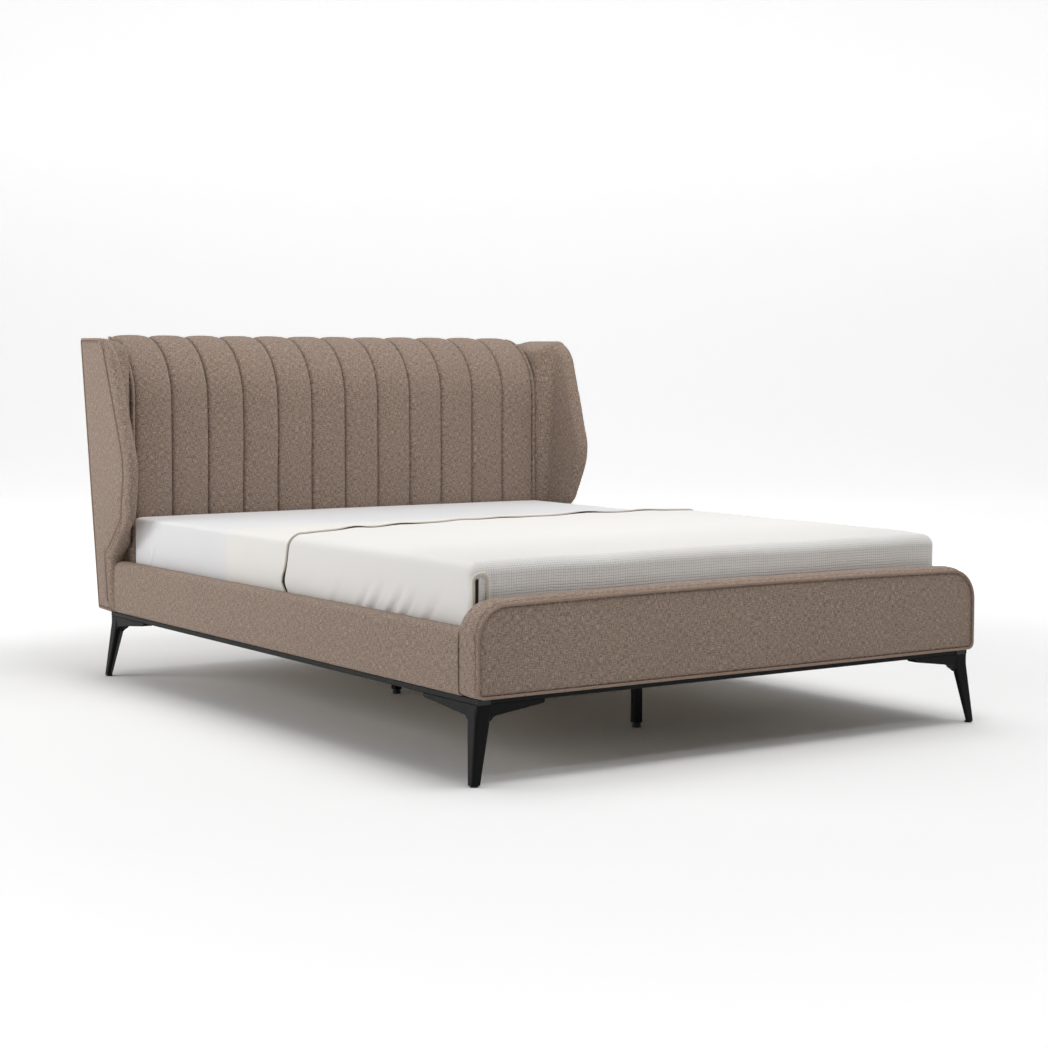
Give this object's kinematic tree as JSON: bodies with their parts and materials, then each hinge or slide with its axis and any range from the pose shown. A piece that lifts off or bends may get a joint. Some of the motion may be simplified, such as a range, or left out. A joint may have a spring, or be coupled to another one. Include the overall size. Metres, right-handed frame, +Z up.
{
  "type": "upholstered bed",
  "caption": "Upholstered bed with a channelled, rolled-top headboard between flared wings, a low padded footboard, slatted base, cast splayed legs, mattress and tucked bedding.",
  "frame": {"origin": "on the floor under the middle of the bed's footprint", "axes": "+Y from the footboard to the headboard, +X across the bed to the right seen from the foot, +Z up"},
  "size_m": [1.808, 2.316, 1.1241],
  "materials": {
    "upholstery": "matte woven, heathered taupe",
    "piping": "matte, darker brown",
    "black_steel": "satin powder coat",
    "cast_legs": "satin black enamel",
    "bolts": "blackened",
    "black_plastic": "matte",
    "timber": "planed, unfinished",
    "plywood": "sanded, unfinished",
    "slat_wood": "smooth bent laminate",
    "mattress_ticking": "matte ticking",
    "sheet_cotton": "smooth cotton, cool white",
    "blanket_cream": "smooth, off-white",
    "quilt_white": "waffle weave, warm white"
  },
  "bodies": {
    "bed_frame": {"side_tube_left": "black_steel", "side_tube_right": "black_steel", "foot_tube": "black_steel", "head_tube": "black_steel", "tube_caps": "black_plastic", "crossbar_front": "black_steel", "crossbar_rear": "black_steel", "centre_beam": "black_steel", "support_leg_front": "black_steel", "support_leg_rear_left": "black_steel", "support_leg_rear_right": "black_steel", "support_feet": "black_plastic", "leg_front_left": "cast_legs", "leg_front_right": "cast_legs", "leg_rear_left": "cast_legs", "leg_rear_right": "cast_legs", "leg_glides": "black_plastic", "leg_bolts": "bolts", "rail_board_left": "timber", "rail_board_right": "timber", "rail_pad_left": "upholstery", "rail_pad_right": "upholstery", "slat_ledge_left": "timber", "slat_ledge_right": "timber", "corner_brackets": "black_steel", "bracket_bolts": "bolts", "footboard_timbers": "timber", "footboard_ply": "plywood", "footboard_pad": "upholstery", "footboard_panel": "upholstery", "footboard_piping": "piping", "headboard_ribs": "plywood", "headboard_bottom_rail": "timber", "headboard_skin": "plywood", "headboard_channels": "upholstery", "headboard_back": "upholstery", "wing_spacers": "timber", "wing_board_left": "plywood", "wing_board_right": "plywood", "wing_pad_left": "upholstery", "wing_pad_right": "upholstery", "wing_panel_left": "upholstery", "wing_panel_right": "upholstery", "wing_piping_left": "piping", "wing_piping_right": "piping", "slats_left": "slat_wood", "slats_right": "slat_wood", "slat_holders": "black_plastic"},
    "mattress_and_bedding": {"mattress": "mattress_ticking", "fitted_sheet": "sheet_cotton", "cream_blanket": "blanket_cream", "quilt": "quilt_white"}
  },
  "joints": [
    {"name": "mattress_lift", "type": "slide", "parent": "bed_frame", "child": "mattress_and_bedding", "axis": [0, 0, 1], "range_m": [0, 0.3]}
  ]
}
